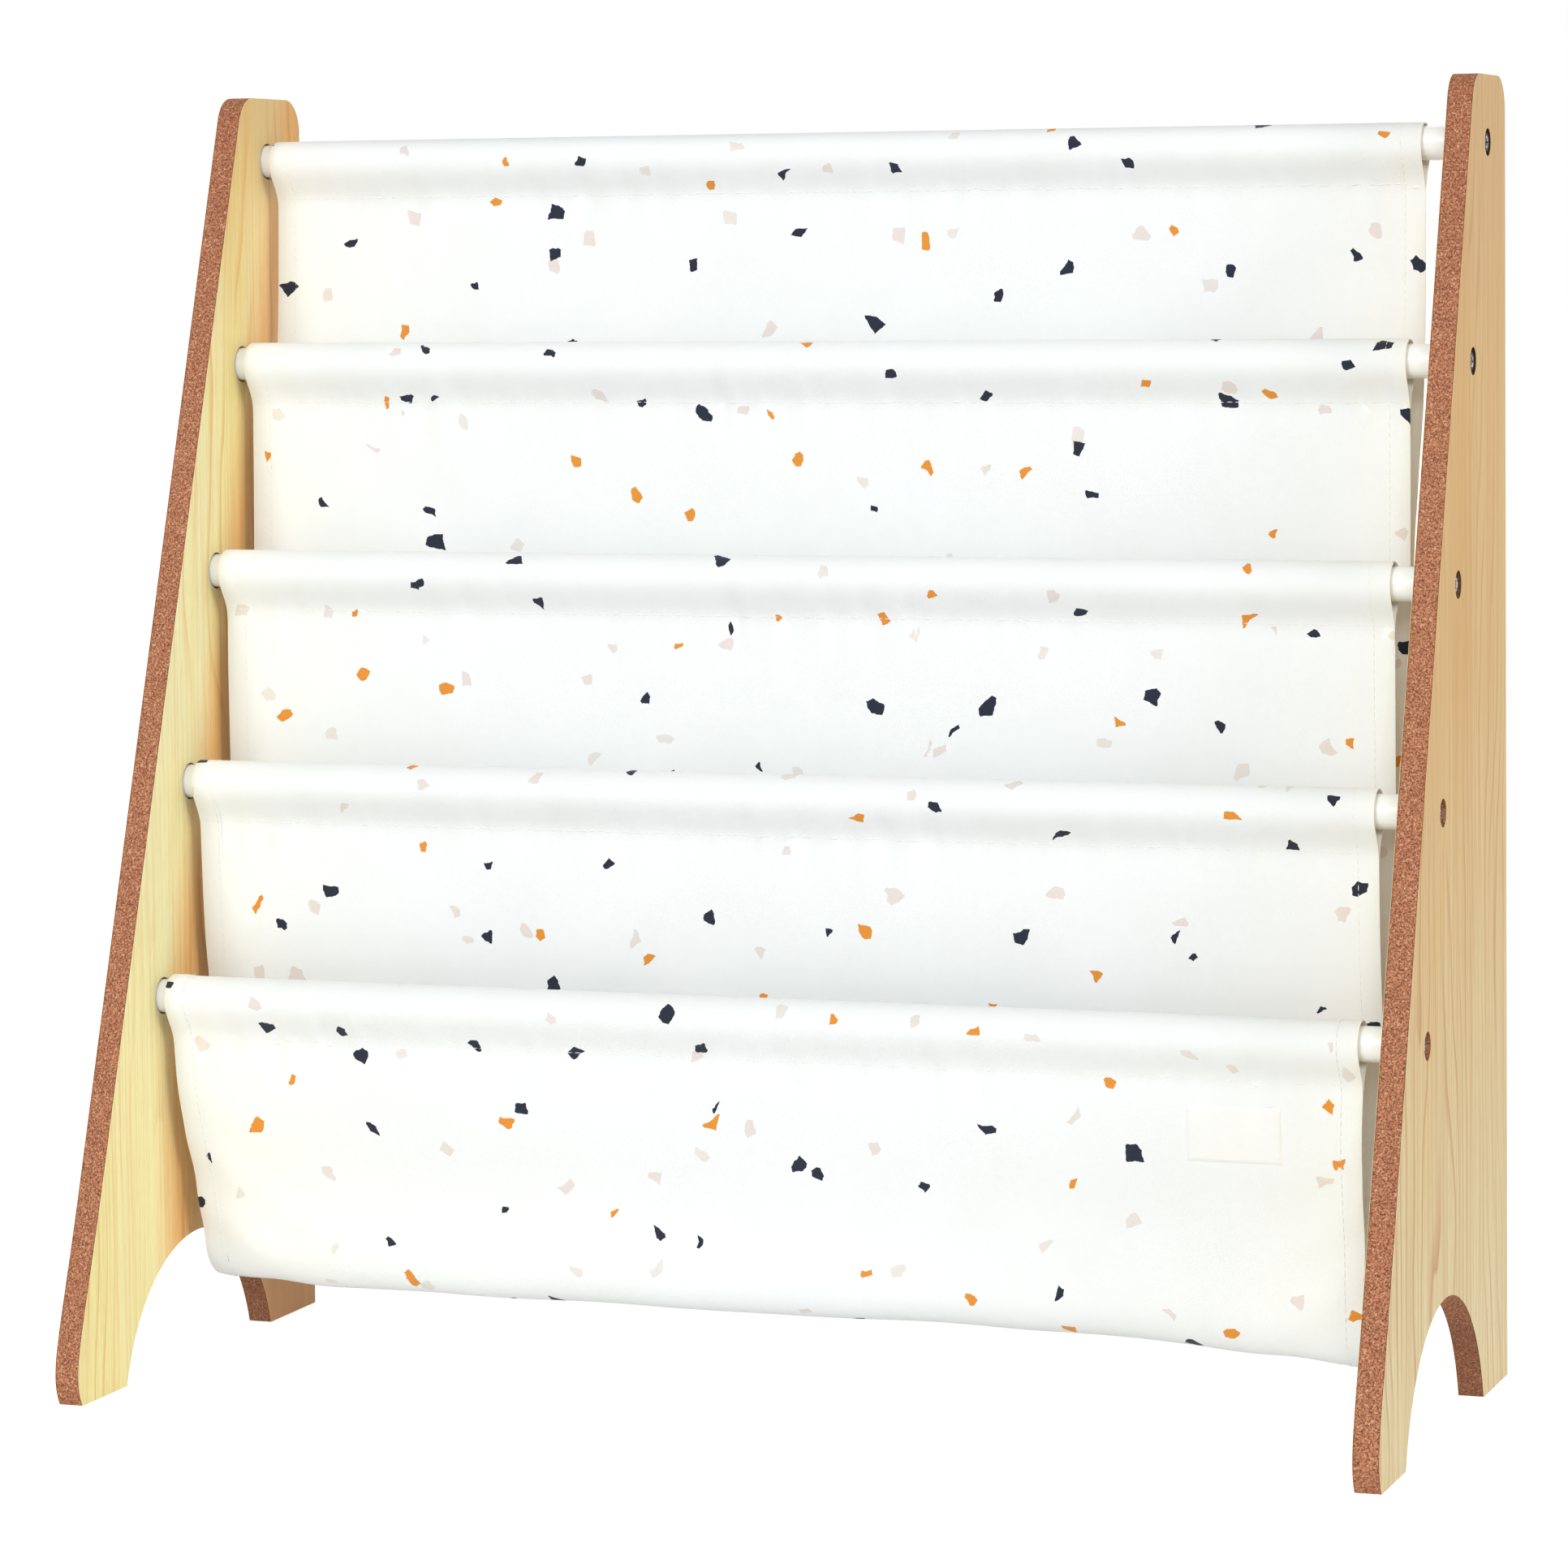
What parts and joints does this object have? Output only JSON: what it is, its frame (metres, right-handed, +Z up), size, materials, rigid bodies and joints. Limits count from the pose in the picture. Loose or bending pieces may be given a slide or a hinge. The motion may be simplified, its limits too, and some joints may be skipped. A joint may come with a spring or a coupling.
{
  "type": "sling bookshelf",
  "caption": "Low bookshelf for children: two tapered side panels with arched feet, joined by bolted tubes that carry one cloth sling with pockets for picture books.",
  "frame": {"origin": "on the floor, at the centre of the footprint of the whole shelf", "axes": "+X along the tubes to the right seen from the front, +Y to the back, +Z up"},
  "size_m": [0.627, 0.264, 0.61],
  "materials": {
    "panel_wood": "satin pine-look foil on the faces, raw reddish-brown fibreboard on the edges",
    "tube_paint": "smooth white powder coat",
    "plug_plastic": "moulded, off-white",
    "bolt_steel": "dark zinc plate",
    "sling_fabric": "plain-weave canvas, off-white with scattered terrazzo chips in navy, ochre and pale pink-beige",
    "label_fabric": "flat woven tape, bare"
  },
  "bodies": {
    "root": {"side_panel_left": "panel_wood", "side_panel_right": "panel_wood", "tube_1": "tube_paint", "tube_2": "tube_paint", "tube_3": "tube_paint", "tube_4": "tube_paint", "tube_5": "tube_paint", "end_plug_left_1": "plug_plastic", "bolt_left_1": "bolt_steel", "end_plug_left_2": "plug_plastic", "bolt_left_2": "bolt_steel", "end_plug_left_3": "plug_plastic", "bolt_left_3": "bolt_steel", "end_plug_left_4": "plug_plastic", "bolt_left_4": "bolt_steel", "end_plug_left_5": "plug_plastic", "bolt_left_5": "bolt_steel", "end_plug_right_1": "plug_plastic", "bolt_right_1": "bolt_steel", "end_plug_right_2": "plug_plastic", "bolt_right_2": "bolt_steel", "end_plug_right_3": "plug_plastic", "bolt_right_3": "bolt_steel", "end_plug_right_4": "plug_plastic", "bolt_right_4": "bolt_steel", "end_plug_right_5": "plug_plastic", "bolt_right_5": "bolt_steel", "sling_sleeve_1": "sling_fabric", "sling_sleeve_2": "sling_fabric", "sling_sleeve_3": "sling_fabric", "sling_sleeve_4": "sling_fabric", "sling_sleeve_5": "sling_fabric", "sling_pocket_1": "sling_fabric", "sling_pocket_2": "sling_fabric", "sling_pocket_3": "sling_fabric", "sling_pocket_4": "sling_fabric", "sling_label": "label_fabric"}
  },
  "joints": []
}
